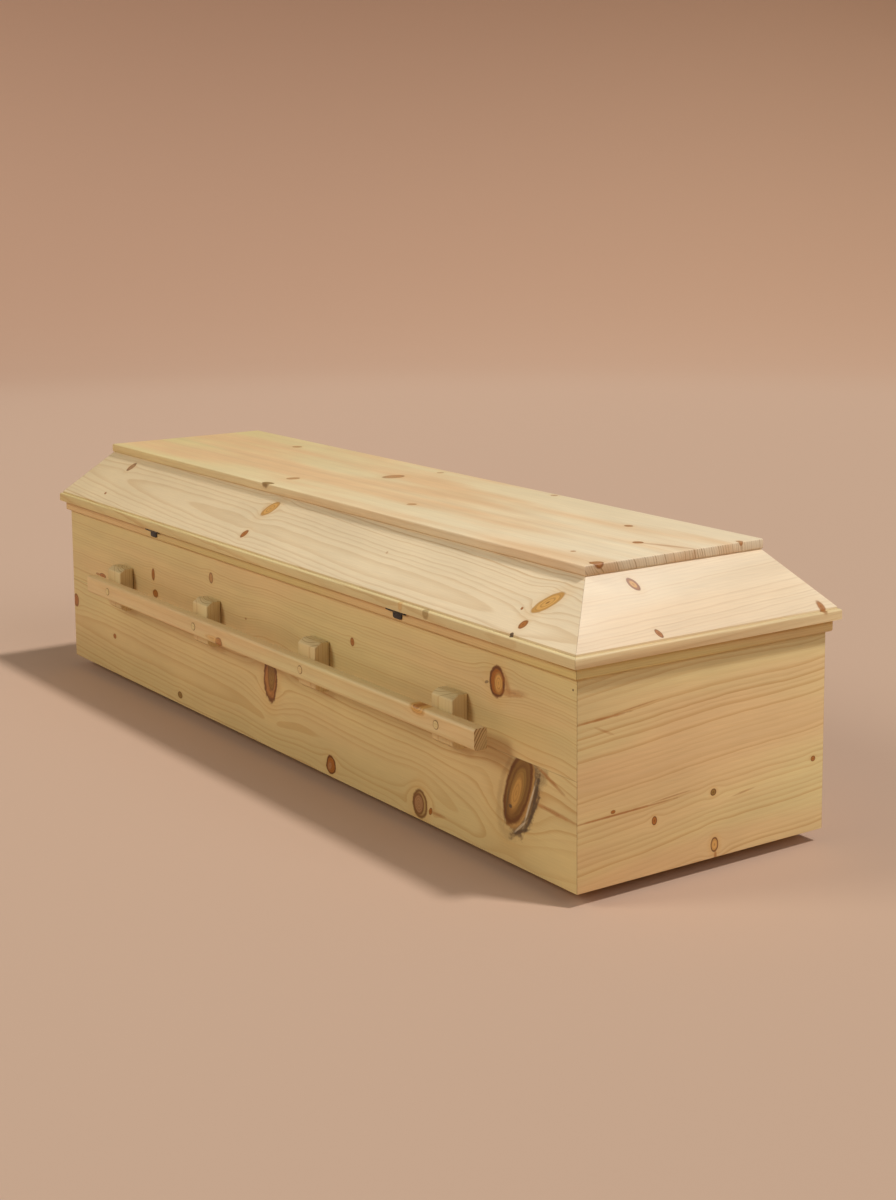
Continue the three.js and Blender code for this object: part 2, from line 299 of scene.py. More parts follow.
def growth_ring_group():
    """Growth rings round a pith that runs along the board, near or behind its face."""
    name = "Growth rings"
    if name in bpy.data.node_groups:
        return bpy.data.node_groups[name]
    numbers = ("Shift", "Lift", "Pith Height", "Pith Depth", "Ring Width", "Bow", "Bow Centre",
               "Slant", "Wander", "Late Start")
    inputs = {"Place": "Vector", "Seed": "Vector", **{number: "Float" for number in numbers}}
    drift_scale, ripple_scale, ripple_height = (1.7, 1.1, 1.1), (9.0, 38.0, 38.0), 0.007
    uneven_scale, uneven_years, good_years_scale = 26.0, 1.5, 0.23
    late_end, strength_power, faintest_ring = 0.93, 1.7, 0.12
    w, given, result = new_group(name, inputs, {"Latewood": "Float", "Years": "Float"})
    along, across, out = w.split(given["Place"])
    slow_place = w.vector("MULTIPLY", w.vector("ADD", given["Place"], given["Seed"]), drift_scale)
    slow = w.add("ShaderNodeTexNoise", {"Vector": slow_place, "Scale": 1.0, "Detail": 1.0}).outputs[1]
    drift_x, drift_y, _ = w.split(w.vector("SUBTRACT", slow, (0.5, 0.5, 0.5)))
    ripple_place = w.vector("MULTIPLY", given["Place"], ripple_scale)
    ripple = w.minus(w.noise(ripple_place, 1.0, 2.0), 0.5)
    height = w.plus(w.minus(across, given["Pith Height"]), given["Shift"])
    height = w.plus(height, w.times(along, given["Slant"]))
    height = w.plus(height, w.times(drift_x, given["Wander"]))
    height = w.math("MULTIPLY_ADD", ripple, ripple_height, height)
    from_bow = w.minus(along, given["Bow Centre"])
    bow = w.times(from_bow, from_bow, given["Bow"])
    depth = w.plus(out, given["Pith Depth"], bow)
    depth = w.plus(depth, w.times(drift_y, given["Wander"]))
    squares = w.math("MULTIPLY_ADD", height, height, w.times(depth, depth))
    radius = w.plus(w.math("SQRT", squares), given["Lift"])
    uneven = w.noise_along(w.plus(radius, w.split(given["Seed"])[0]), uneven_scale)
    even_count = w.math("DIVIDE", radius, given["Ring Width"])
    count = w.math("MULTIPLY_ADD", uneven, uneven_years, even_count)
    phase = w.math("FRACT", count)
    rise = w.ramp(phase, given["Late Start"], late_end)
    fall = w.ramp(phase, late_end, 1.0, 1.0, 0.0)
    year = w.math("FLOOR", count)
    strength = w.add("ShaderNodeTexWhiteNoise", {"W": year}, noise_dimensions="1D").outputs[0]
    strength = w.math("POWER", strength, strength_power)
    strength = w.math("MULTIPLY_ADD", strength, 1.0 - faintest_ring, faintest_ring)
    w.feed(result["Latewood"], w.times(rise, fall, strength))
    w.feed(result["Years"], w.noise_along(count, good_years_scale, 1.0))
    return w.tree


@dataclass
class Knot:
    """A knot by its middle and half sizes in millimetres on its board's face, tilt in degrees."""
    along: float
    up: float
    half_length: float
    half_height: float
    tilt: float = 0.0
    wood: str = "heart"
    tone: float = 0.93
    edge: float = 0.45
    core: float = 0.0
    soft: float = 0.09
    ragged: float = 0.16
    bend: float = 1.0
    depth: float = 1000.0

    def place(self):
        """Where the knot is, how it's turned and how far it reaches."""
        return {
            "Centre": (self.along * MM, self.up * MM, 0.0),
            "Turn": (0.0, 0.0, radians(self.tilt)),
            "Reach": (self.half_length * MM, self.half_height * MM, self.depth * MM),
        }

    def ring_count(self):
        """How far the sine that draws the knot's rings turns from its middle to its edge."""
        ring_mm = 4.6
        fewest_rings = 1.2
        return 2 * pi * max(fewest_rings, min(self.half_length, self.half_height) / ring_mm)


def streak(along, up, half_length, half_height, tilt, wood="heart", tone=0.6, soft=0.5, ragged=0.5):
    """Resin, bark or tinted wood beside a knot, with no dark edge and no bent grain of its own."""
    return Knot(along, up, half_length, half_height, tilt, wood, tone, edge=0, soft=soft, ragged=ragged,
                bend=0)


@dataclass
class Grain:
    """How one board was sawn: its pith and its rings in metres, and its colour."""
    pith_height: float = 0.1
    pith_depth: float = 0.06
    ring_share: float = 1.0
    bow: float = 0.0
    bow_centre: float = 0.0
    slant: float = 0.0
    late_start: float = 0.52
    contrast: float = 0.6
    warmth: float = 0.5
    rose: float = 0.3
    # Change of warmth per metre along the fibres. Where negative, it warms and darkens the head end: partly
    # the wood's own tone, partly painted shade.
    fade: float = 0.0
    end_contrast: float = 0.6


@dataclass
class Board:
    """One piece of timber, glued up from two boards where above is given."""
    origin: Vector
    outward: Vector
    up: Vector
    grain: Grain
    above: Grain = None
    seam: float = 0.0
    wander: float = 0.015
    seed: float = 1.0
    knots: tuple = ()
    warm_lip: float = 0.0
    # Darkens a plug towards its rim: its glue line and painted shade of the thin gap round the plug.
    glue_and_shade_rim: bool = False

    def along(self):
        """The way the fibres run."""
        return self.up.cross(self.outward)

    def turn(self):
        """The turn of the board's own axes: along, up and outward."""
        return Matrix((self.along(), self.up, self.outward)).transposed().to_euler("XYZ")


def filled(w, group, inputs):
    """Adds a group with its inputs fed and gives its outputs."""
    node = w.add("ShaderNodeGroup", node_tree=group)
    for key, value in inputs.items():
        w.feed(node.inputs[key], value)
    return node.outputs


# Scales along the fibres, up the board and into it.
WOBBLE_SCALE = (48.0, 62.0, 30.0)
BAND_SCALE = (1.3, 9.0, 9.0)
FIBRE_SCALE = (14.0, 520.0, 520.0)
CLOUD_SCALE = (5.0, 11.0, 11.0)
SEED_STEPS = (3.7, 1.9, 2.3)
# A pattern's swing and what it is added to.
CLOUD_SHADE = (0.22, 0.89)
FIBRE_SHADE = (0.22, 0.88)
YEARS_SHADE = (0.12, 0.94)
END_SHADE = (-0.16, 1.0)
FIBRE_ROUGHNESS = (0.12, 0.44)
# Where something starts and where it is full, with the strengths there where they aren't 0 and 1.
LIP_HEIGHTS = (2 * MM, -4 * MM)
ROSE_BANDS = (0.40, 0.66)
END_GRAIN = (0.55, 0.9)
GLUE_LINE = (0.3 * MM, 0.9 * MM, 0.72, 1.0)
# The plug's dark rim: its glue line and painted shade of the thin gap round the plug.
RIM_GLUE_AND_SHADE = (0.80, 0.93, 0.0, 0.7)
# Single strengths.
END_LINE = 0.5
HALO_STRENGTH = 0.16
LATEWOOD_GLOSS = -0.08
KNOT_GLOSS = -0.08


def bent_grain(w, board, place):
    """Chains the board's knots and gives the push and the tint that all of them leave."""
    marks = dict.fromkeys(GRAIN_MARKS, 0.0)
    for knot in board.knots:
        if knot.bend:
            given = {"Place": place, **marks, **knot.place(), "Bend": knot.bend}
            outputs = filled(w, knot_grain_group(), given)
            marks = {mark: outputs[mark] for mark in GRAIN_MARKS}
    return marks


def with_knots(w, board, place, colour, within):
    """Lays the faces of the board's knots over its colour, later ones over earlier ones.

    within holds where the board below the glue line and the one above it may show a knot.
    """
    timber = bpy.context.scene.coffin_timber
    wobble = w.minus(w.noise(w.vector("MULTIPLY", place, WOBBLE_SCALE), 1.0, 4.0, 0.62), 0.5)
    cover = 0.0
    for knot in board.knots:
        is_above = knot.up * MM > board.seam
        given = {
            "Place": place, "Wobble": wobble, "Colour": colour, "Cover": cover, **knot.place(),
            "Wood": rgba(getattr(timber, "knot_" + knot.wood)), "Bark": rgba(timber.knot_bark),
            "Tone": knot.tone, "Edge": knot.edge, "Core": knot.core, "Soft": knot.soft,
            "Ragged": knot.ragged * 2, "Rings": knot.ring_count(), "Within": within[is_above],
        }
        outputs = filled(w, knot_face_group(), given)
        colour = outputs["Colour"]
        cover = outputs["Cover"]
    return colour, cover


def pine(name, board):
    """Planed knotty pine: growth rings, fibre, colour bands, knots and end grain."""
    timber = bpy.context.scene.coffin_timber
    material, w, shader = new_material(name)
    coordinates = w.add("ShaderNodeTexCoord").outputs
    place = w.add("ShaderNodeMapping", {"Vector": coordinates["Object"], "Location": board.origin,
                                        "Rotation": board.turn()}, vector_type="TEXTURE").outputs[0]
    within = (1.0, 1.0)
    if board.above:
        height = w.split(place)[1]
        over_seam = w.math("GREATER_THAN", height, board.seam)
        within = (w.minus(1.0, over_seam), over_seam)

    def sawn(key):
        """A value of the board's grain, which changes at the glue line where there is one."""
        low = getattr(board.grain, key)
        if not board.above:
            return low
        return w.math("MULTIPLY_ADD", over_seam, getattr(board.above, key) - low, low)

    marks = bent_grain(w, board, place)
    seed = tuple(board.seed * step for step in SEED_STEPS)
    ring_width = w.times(sawn("ring_share"), timber.ring_width)
    rings = filled(w, growth_ring_group(), {
        "Place": place, "Seed": seed, "Shift": marks["Shift"], "Lift": marks["Lift"],
        "Pith Height": sawn("pith_height"), "Pith Depth": sawn("pith_depth"),
        "Ring Width": ring_width, "Bow": sawn("bow"), "Bow Centre": sawn("bow_centre"),
        "Slant": sawn("slant"), "Wander": board.wander, "Late Start": sawn("late_start"),
    })

    seeded = w.vector("ADD", place, seed)
    band = w.noise(w.vector("MULTIPLY", seeded, BAND_SCALE), 1.0, 2.0)
    fibre = w.noise(w.vector("MULTIPLY", seeded, FIBRE_SCALE), 1.0, 3.0, 0.6)
    cloud = w.noise(w.vector("MULTIPLY", seeded, CLOUD_SCALE), 1.0, 3.0)

    # Warmer and darker towards the head end where the grain's fade is negative: partly the wood's own tone,
    # partly painted shade.
    warmth = w.math("MULTIPLY_ADD", w.split(place)[0], board.grain.fade, sawn("warmth"), clamp=True)
    if board.warm_lip:
        lip = w.ramp(w.split(place)[1], *LIP_HEIGHTS, 0.0, board.warm_lip)
        warmth = w.math("ADD", warmth, lip, clamp=True)
    sapwood = w.mix(warmth, rgba(timber.pale_sapwood), rgba(timber.warm_sapwood))
    rose = w.times(w.ramp(band, *ROSE_BANDS), sawn("rose"))
    colour = w.mix(rose, sapwood, rgba(timber.rose_patch))
    shade = w.math("MULTIPLY_ADD", cloud, *CLOUD_SHADE)
    shade = w.times(shade, w.math("MULTIPLY_ADD", fibre, *FIBRE_SHADE))
    shade = w.times(shade, w.math("MULTIPLY_ADD", rings["Years"], *YEARS_SHADE))
    if board.above:
        off_seam = w.math("ABSOLUTE", w.minus(height, board.seam))
        shade = w.times(shade, w.ramp(off_seam, *GLUE_LINE))

    facing = w.vector("DOT_PRODUCT", coordinates["Normal"], tuple(board.along()))
    end_grain = w.ramp(w.math("ABSOLUTE", facing), *END_GRAIN)
    late_share = w.math("MULTIPLY_ADD", end_grain, board.grain.end_contrast, sawn("contrast"))
    late = w.math("MULTIPLY", rings["Latewood"], late_share, clamp=True)
    line = w.mix(w.times(end_grain, END_LINE), rgba(timber.latewood), rgba(timber.knot_bark))
    colour = w.mix(late, colour, line)
    shade = w.times(shade, w.math("MULTIPLY_ADD", end_grain, *END_SHADE))
    colour = w.mix(1.0, colour, w.combine(shade, shade, shade), "MULTIPLY")
    colour = w.mix(w.times(marks["Halo"], HALO_STRENGTH), colour, rgba(timber.knot_pale))
    colour, cover = with_knots(w, board, place, colour, within)
    # A dark ring at the plug's rim: the glue line and painted shade of the thin gap round the plug.
    if board.glue_and_shade_rim:
        rim = w.add("ShaderNodeAttribute", attribute_name="rim").outputs["Fac"]
        colour = w.mix(w.ramp(rim, *RIM_GLUE_AND_SHADE), colour, rgba(timber.knot_bark))
    w.feed(shader.inputs["Base Color"], colour)

    rough = w.math("MULTIPLY_ADD", rings["Latewood"], LATEWOOD_GLOSS,
                   w.math("MULTIPLY_ADD", fibre, *FIBRE_ROUGHNESS))
    w.feed(shader.inputs["Roughness"], w.math("MULTIPLY_ADD", cover, KNOT_GLOSS, rough))
    shader.inputs["Specular IOR Level"].default_value = 0.42
    bump = w.add("ShaderNodeBump", {"Height": fibre, "Strength": 0.3, "Distance": 0.0003})
    w.feed(shader.inputs["Normal"], bump.outputs[0])
    return material


def black_steel():
    """Painted steel with a faint orange peel and worn, slightly brown patches."""
    hardware = bpy.context.scene.coffin_hardware
    peel_scale, wear_scale, wear_strength = 900.0, 160.0, 0.5
    worn = (0.09, 0.055, 0.035, 1.0)
    material, w, shader = new_material("black_painted_steel")
    place = w.add("ShaderNodeTexCoord").outputs["Object"]
    peel = w.noise(place, peel_scale, 2.0)
    wear = w.ramp(w.noise(place, wear_scale, 4.0, 0.7), 0.6, 0.75)
    w.feed(shader.inputs["Base Color"], w.mix(w.times(wear, wear_strength), rgba(hardware.steel), worn))
    w.feed(shader.inputs["Roughness"], w.math("MULTIPLY_ADD", peel, 0.2, 0.3))
    shader.inputs["Metallic"].default_value = 0.0
    bump = w.add("ShaderNodeBump", {"Height": peel, "Strength": 0.15, "Distance": 0.0002})
    w.feed(shader.inputs["Normal"], bump.outputs[0])
    return material


def joined_copy(node, name):
    """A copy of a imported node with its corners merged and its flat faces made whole."""
    mesh = bpy.data.meshes.new(name)
    shape = bmesh.new()
    shape.from_mesh(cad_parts[node].data)
    bmesh.ops.remove_doubles(shape, verts=shape.verts, dist=0.01 * MM)
    bmesh.ops.dissolve_limit(shape, angle_limit=radians(0.2), verts=shape.verts, edges=shape.edges)
    shape.to_mesh(mesh)
    shape.free()
    mesh.materials.clear()
    return new_piece(name, mesh)


def plain_mesh(piece, name):
    """Turns a piece with its modifiers into a plain mesh."""
    bpy.context.view_layer.update()
    mesh = bpy.data.meshes.new_from_object(piece.evaluated_get(bpy.context.evaluated_depsgraph_get()))
    mesh.name = name
    piece.modifiers.clear()
    piece.data = mesh


def soften(piece, width, smooth_angle=radians(32)):
    """Rounds the sharp edges by a narrow arris and shades the rounded parts smooth."""
    shading_margin = radians(8)
    bevel = piece.modifiers.new("arris", "BEVEL")
    bevel.width = width
    bevel.segments = bpy.context.scene.coffin_finish.arris_segments
    bevel.limit_method = "ANGLE"
    bevel.angle_limit = smooth_angle
    bevel.harden_normals = True
    piece.data.shade_smooth()
    plain_mesh(piece, piece.name)
    piece.data.set_sharp_from_angle(angle=smooth_angle + shading_margin)


def dressed(piece, material, body):
    """Gives a piece its material and slot, and lets it ride on its body."""
    piece.data.materials.clear()
    piece.data.materials.append(material)
    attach(piece, body)


def finished(piece, material, body, nodes):
    """Dresses a piece and puts it in the place of its nodes."""
    dressed(piece, material, body)
    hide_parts(*nodes)


def board_piece(node, board, body, arris):
    """A softened copy of a packed board in its own pine."""
    piece = joined_copy(node, node + "_pine")
    soften(piece, arris)
    finished(piece, pine(node + "_grain", board), body, [node])


LARGEST_KNOTS = (
    Knot(799, 346, 28, 22, 82, "heart", 1.0, 1.0, soft=0.12, ragged=0.2, bend=1.1),
    Knot(803, 344, 19, 12, 86, "pale", 0.9, 0.35, soft=0.2, bend=0),
    streak(842, 335, 34, 6, 8, "heart", 0.5, 0.8, 0.7),
    streak(826, 350, 20, 6, -62, "heart", 0.45, 0.8, 0.6),
    Knot(767, 339, 6, 2.5, 20, "stain", 0.6, bend=0),
    streak(925, 200, 30, 12, 62, "stain", 0.4, 0.6, 0.9),
    streak(950, 207, 42, 3.5, -22, "heart", 0.6, 0.6, 0.6),
    streak(960, 152, 62, 3.5, -3, "heart", 0.6, 0.6, 0.6),
    Knot(856, 158, 92, 48, 66, "heart", 0, 0.22, ragged=0.14, bend=0.9),
    Knot(877, 153, 78, 34, 66, "stain", 0.72, 0.2, soft=0.2, ragged=0.55, bend=0),
    streak(910, 168, 44, 3.2, 72, "stain", 0.9, 0.5, 0.8),
    streak(898, 128, 40, 3.5, 60, "stain", 0.9, 0.5, 0.8),
    streak(868, 92, 26, 3, 22, "stain", 0.85, 0.5, 0.8),
    streak(864, 162, 77.5, 33.6, 66, "pale", 0.55, 0.06, 0.16),
    Knot(859, 168, 76, 32, 66, "olive", 1.0, 0.9, soft=0.05, ragged=0.1, bend=0),
    Knot(859, 166, 56, 22, 66, "olive", 0.5, 0.6, soft=0.1, ragged=0.1, bend=0),
    Knot(854, 158, 40, 13, 67, "pale", 0.62, 0.3, soft=0.35, ragged=0.1, bend=0),
    Knot(837, 130, 4.5, 3.5, 0, "stain", 0.95, 0, soft=0.4, bend=0),
    streak(893, 148, 42, 2.2, 68, "silver", 0.85, 0.5, 0.5),
    streak(867, 101, 22, 2, 40, "silver", 0.75, 0.5, 0.6),
    streak(826, 132, 34, 1.6, 78, "stain", 0.55, 0.6, 0.6),
)
LONG_SIDE_KNOTS = (
    Knot(549, 56, 27, 24, 80, "olive", 0.55, 0.75, bend=1.5),
    Knot(545, 55, 20, 17, 80, "rose", 0.95, 0.7, bend=0),
    Knot(585, 51, 8, 5, 60, edge=0.5, bend=0),
    streak(608, 51, 25, 3, 2, "heart", 0.45, 0.5, 0.3),
    Knot(226, 50, 19, 17, 60, "heart", 0.95, 1.0, 0.3, ragged=0.3, bend=0.8),
    Knot(221, 47, 9, 6, 60, "rose", 0.8, 0, soft=0.4, bend=0),
    Knot(-17, 176, 48, 27, 86, "heart", 0.8, 0.9, soft=0.12, ragged=0.26, bend=1.3),
    Knot(-12, 190, 40, 15, 86, "olive", 0.9, 0.5, soft=0.16, ragged=0.2, bend=0),
    Knot(-1013, 168, 14, 16, 0, edge=0.6, bend=0.8),
    Knot(-848, 258, 17, 6, 0, edge=0.6, bend=0.6),
)
SMALL_KNOTS = (
    Knot(-876, 258, 11, 3, 0, tone=0.7, bend=0),
    Knot(-566, 309, 8, 14, 0, edge=0.5, bend=0.7),
    Knot(-557, 265, 13, 9, 0, edge=0.6, bend=0.8),
    Knot(-276, 350, 9, 12, 0, tone=0.6, edge=0.7, bend=0.8),
    Knot(-790, 118, 8, 6, 0, bend=0.8),
    Knot(-444, 47, 11, 7.5, 0, "olive", edge=0.6, bend=0.8),
    Knot(-120, 287, 4, 2.2, 0, tone=0.7, bend=0),
    Knot(315, 322, 7, 8.5, 0, bend=0.8),
    Knot(1014, 378, 2, 2, 0, "stain", bend=0),
)
FRONT_BOARD_KNOTS = (*LARGEST_KNOTS, *LONG_SIDE_KNOTS, *SMALL_KNOTS)
FOOT_BOARD_KNOTS = (
    Knot(-118, 121, 5.5, 7.5, 0, core=0.9, edge=0.9, bend=1.6),
    Knot(18, 146, 6.5, 6, 0, "olive", 1.0, 1.0, 0.9, bend=1.8),
    Knot(22, 49, 8.5, 13, 0, "pale", 0.8, 1.0, 0.5, bend=2.0),
    streak(24, 22, 3, 16, 0, "heart", 0.7, 0.5, 0.4),
    Knot(262, 163, 5.5, 5, 0, edge=0.9, core=0.9, bend=1.2),
    Knot(-210, 155, 5, 3.2, 0, edge=0.7, bend=0.5),
    streak(-190, 149, 100, 1.8, 1.5, "heart", 0.75, 0.5, 0.5),
    streak(-80, 157, 45, 1.2, 4, "heart", 0.5, 0.5, 0.5),
    streak(-235, 322, 55, 2.2, 3, "heart", 0.6, 0.5, 0.6),
    streak(-160, 331, 45, 1.2, 6, "heart", 0.45, 0.5, 0.5),
    streak(-230, 300, 20, 2, -25, "heart", 0.35, 0.6, 0.5),
    streak(90, 133, 22, 1.6, 7, "heart", 0.45, 0.6, 0.5),
)
FRONT_SLOPE_KNOTS = (
    Knot(-802, 114, 16, 8, 47, "rose", edge=0.5, bend=0.8),
    Knot(-829, 28, 4.5, 3, 0, edge=0.7, bend=0.5),
    Knot(-107, 106, 27, 13, 42, "pale", 0.95, 0.28, soft=0.06, ragged=0.08, bend=1.1),
    Knot(-134, 33, 12, 7.5, 52, edge=0.4, soft=0.12, bend=1.0),
    Knot(895, 76, 35, 13.5, 44, "pale", 0.95, 0.3, 0.75, soft=0.06, ragged=0.08, bend=1.1),
    Knot(872, 24, 10.5, 7.5, 50, edge=0.35, soft=0.14, bend=1.0),
    Knot(843, 52, 3, 3, 0, edge=0.6, bend=0.3),
    Knot(861, -1, 5, 5, 0, "stain", bend=0.2, depth=12),
    Knot(378, 83, 3, 2.6, 0, tone=0.4, edge=0.1, bend=0.5),
    Knot(604, -13, 9, 9, 0, "olive", 0.55, 0.2, soft=0.4, ragged=0.4, bend=0, depth=12),
    Knot(520, -13, 7, 9, 0, "pale", 0.5, 0.1, soft=0.5, ragged=0.4, bend=0, depth=12),
)
FOOT_SLOPE_KNOTS = (
    Knot(-115, 112, 15, 8.5, 122, edge=0.5, bend=0.8),
    Knot(-115, 112, 9, 4.6, 122, "pale", 0.9, 0, soft=0.2, bend=0),
    Knot(-116, 11, 9.5, 5, 120, tone=0.9, edge=0.6, bend=0.5),
    Knot(265, 4, 7, 15, 12, tone=0.85, edge=0.3, soft=0.4, ragged=0.4, bend=0.3, depth=14),
)
LID_TOP_KNOTS = (
    Knot(-166, -200, 17, 9, 0, "olive", 0.9, 0.4, soft=0.3, ragged=0.3, bend=0.5, depth=13),
    Knot(-74, 64, 19, 26, 0, tone=0.6, edge=0.3, bend=0.8),
    Knot(-613, 132, 13, 11, 0, tone=0.6, edge=0.3, bend=0.8),
    Knot(-188, -125, 13, 15, 0, tone=0.6, edge=0.3, bend=0.8),
    Knot(250, -102, 10, 10, 0, tone=0.5, edge=0.2, bend=0.8),
    Knot(-57, 178, 8, 8, 0, tone=0.5, edge=0.2, bend=0.8),
    Knot(-584, 211, 9, 8, 0, tone=0.5, edge=0.2, bend=0.8),
    Knot(700, 92, 9, 8, 0, tone=0.8, edge=0.4, bend=0.8),
    Knot(837, 0, 10, 10, 20, tone=0.8, edge=0.4, bend=0.6),
    streak(890, 20, 58, 6, 21, "heart", 0.4, 0.5, 0.3),
    Knot(831, -144, 5, 5, 0, tone=0.7, edge=0.3, bend=0.6),
    Knot(339, 193, 8, 7, 0, tone=0.5, edge=0.2, bend=0.8),
    Knot(936, -176, 12, 13, 0, tone=0.8, edge=0.5, bend=0.6, depth=12),
    Knot(940, 152, 7, 6, 0, tone=0.7, edge=0.3, bend=0.5, depth=9),
)
FRONT_RAIL_KNOTS = (
    Knot(-126, 241, 15, 12, 0, tone=0.85, edge=0.5, soft=0.2, bend=1.0),
    streak(-158, 246, 26, 6, 0, "pale", 0.6, 0.6, 0.3),
    Knot(636, 273, 24, 12, -8, "pale", 0.85, 0.15, soft=0.25, ragged=0.35, bend=0.7),
    Knot(632, 276, 10, 5, 0, tone=0.7, edge=0.3, soft=0.4, bend=0),
)


def middle(node):
    low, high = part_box(node)
    return (low + high) / 2


def extent(node):
    low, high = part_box(node)
    return high - low


def outer_face(node, outward):
    """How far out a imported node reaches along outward, as a place."""
    return outward * max(corner.dot(outward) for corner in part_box(node))


def slope_frame(side):
    """The sloping face of the lid: its lower edge at the groove, its normal and its upward way."""
    outward = OUTWARD[side]
    groove_inset = 6.7 * MM
    edge = max(corner.dot(outward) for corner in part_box("lid_slope_" + side))
    origin = outward * (edge - groove_inset) + UP * GROOVE_LEVEL
    normal = outward * sin(SLOPE_ANGLE) + UP * cos(SLOPE_ANGLE)
    climb = outward * -cos(SLOPE_ANGLE) + UP * sin(SLOPE_ANGLE)
    return origin, normal, climb


class COFFIN_OT_box_boards(bpy.types.Operator):
    """Four pine boards of the box, mitred at the corners"""
    bl_idname = "coffin.box_boards"
    bl_label = "Box boards"

    def execute(self, context):
        arris = context.scene.coffin_finish.board_arris
        long_low = Grain(0.10, 0.06, 1.3, 0.007, -0.5, 0.02, 0.4, 0.6, 0.82, 0.2)
        long_high = Grain(0.16, 0.07, 1.0, 0.006, 0.2, 0.012, 0.4, 0.6, 0.86, 0.4)
        back_low = Grain(0.09, 0.06, 1.2, -0.012, 0.3, 0.01, 0.5, 0.36, 0.86, 0.3)
        back_high = Grain(0.33, 0.05, 1.1, 0.012, -0.2, 0.0, 0.5, 0.36, 0.9, 0.4)
        foot = Grain(0.47, 0.06, 1.8, -0.3, -0.14, -0.1, 0.25, 0.62, 0.82, 0.6)
        head = Grain(0.11, 0.05, 1.2, 0.2, 0.05, 0.03, 0.35, 0.48, 0.9, 0.5)
        seam = 222 * MM
        closer, shifted, board_top = 0.83, 90, 430
        back_knots = tuple(replace(knot, along=knot.along * closer - shifted, up=board_top - knot.up,
                                   bend=0.8) for knot in LONG_SIDE_KNOTS)
        head_knots = (Knot(-60, 250, 14, 12), Knot(170, 90, 7, 6), Knot(90, 330, 4, 4, core=0.8))
        sawn = {
            "front": dict(grain=long_low, above=long_high, seam=seam, seed=1.0, knots=FRONT_BOARD_KNOTS),
            "back": dict(grain=back_low, above=back_high, seam=seam, seed=2.0, knots=back_knots),
            "foot": dict(grain=foot, seed=3.0, wander=0.05, knots=FOOT_BOARD_KNOTS),
            "head": dict(grain=head, seed=4.0, wander=0.02, knots=head_knots),
        }
        for side in SIDES:
            node = "box_board_" + side
            board = Board(outer_face(node, OUTWARD[side]), OUTWARD[side], UP, **sawn[side])
            board_piece(node, board, "box", arris)
        return {"FINISHED"}


class COFFIN_OT_trim(bpy.types.Operator):
    """Four pieces of moulding under the lid"""
    bl_idname = "coffin.trim"
    bl_label = "Trim"

    def execute(self, context):
        arris = context.scene.coffin_finish.board_arris
        grain = Grain(0.47, 0.05, 0.6, slant=0.012, late_start=0.35, contrast=0.7, warmth=1.0, rose=0.6)
        for number, side in enumerate(SIDES):
            node = "trim_" + side
            board = Board(outer_face(node, OUTWARD[side]), OUTWARD[side], UP, grain, seed=5.0 + number)
            board_piece(node, board, "box", arris * MOULDED_ARRIS)
        return {"FINISHED"}


class COFFIN_OT_lid(bpy.types.Operator):
    """The lid's four sloping boards and its flat top board"""
    bl_idname = "coffin.lid"
    bl_label = "Lid"

    def execute(self, context):
        arris = context.scene.coffin_finish.board_arris
        sawn = {
            # The front slope's last number warms and darkens it towards the head end: partly the wood's own
            # tone, partly painted shade.
            "front": dict(grain=Grain(0.055, 0.045, 1.15, 0.012, 0.05, 0.03, 0.45, 0.48, 0.2, 0.06, -0.12),
                          seed=11.0, knots=FRONT_SLOPE_KNOTS),
            "back": dict(grain=Grain(0.09, 0.05, 1.1, 0.02, -0.3, -0.01, 0.58, 0.4, 0.3, 0.1), seed=12.0,
                         knots=(Knot(-420, 88, 17, 12, 40, "pale"), Knot(350, 40, 10, 7, 50),
                                Knot(620, 110, 5, 4), Knot(-40, 30, 12, 8, -40))),
            "foot": dict(grain=Grain(-0.07, 0.02, 1.2, slant=-0.04, late_start=0.4, contrast=0.26,
                                     warmth=0.0, rose=0.3), seed=13.0, knots=FOOT_SLOPE_KNOTS),
            "head": dict(grain=Grain(0.2, 0.03, 1.2, slant=0.04, late_start=0.5, contrast=0.24,
                                     warmth=0.1, rose=0.2), seed=14.0,
                         knots=(Knot(90, 60, 12, 8, 30, "pale"), Knot(-150, 110, 5, 4))),
        }
        for side in SIDES:
            origin, normal, climb = slope_frame(side)
            board = Board(origin, normal, climb, warm_lip=0.55, **sawn[side])
            board_piece("lid_slope_" + side, board, "lid", arris * MOULDED_ARRIS)
        # The top's last number warms and darkens it towards the head end: partly the wood's own tone,
        # partly painted shade.
        top = Board(Vector((0, 0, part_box("lid_top")[1].z)), UP, Vector((0, 1, 0)),
                    Grain(-0.36, 0.09, 0.95, 0.01, 0.3, 0.0, 0.45, 0.3, 0.45, 0.8, -0.42), seed=15.0,
                    knots=LID_TOP_KNOTS)
        board_piece("lid_top", top, "lid", arris)
        return {"FINISHED"}


def tree_of_geometry(name, inputs):
    """An empty tree of Geometry Nodes with named inputs. inputs maps a name to its socket type."""
    tree = bpy.data.node_groups.new(name, "GeometryNodeTree")
    tree.interface.new_socket("Geometry", in_out="INPUT", socket_type="NodeSocketGeometry")
    for socket, kind in inputs.items():
        tree.interface.new_socket(socket, in_out="INPUT", socket_type="NodeSocket" + kind)
    tree.interface.new_socket("Geometry", in_out="OUTPUT", socket_type="NodeSocketGeometry")
    writer = NodeWriter(tree)
    entry = writer.add("NodeGroupInput")
    leave = writer.add("NodeGroupOutput")
    return writer, entry.outputs, leave.inputs[0]


def end_tree(w, instances, material, leave):
    """Makes the instances real, gives them their material and ends the tree."""
    real = w.add("GeometryNodeRealizeInstances", {0: instances}).outputs[0]
    with_material = w.add("GeometryNodeSetMaterial", {"Geometry": real, "Material": material}).outputs[0]
    w.feed(leave, with_material)


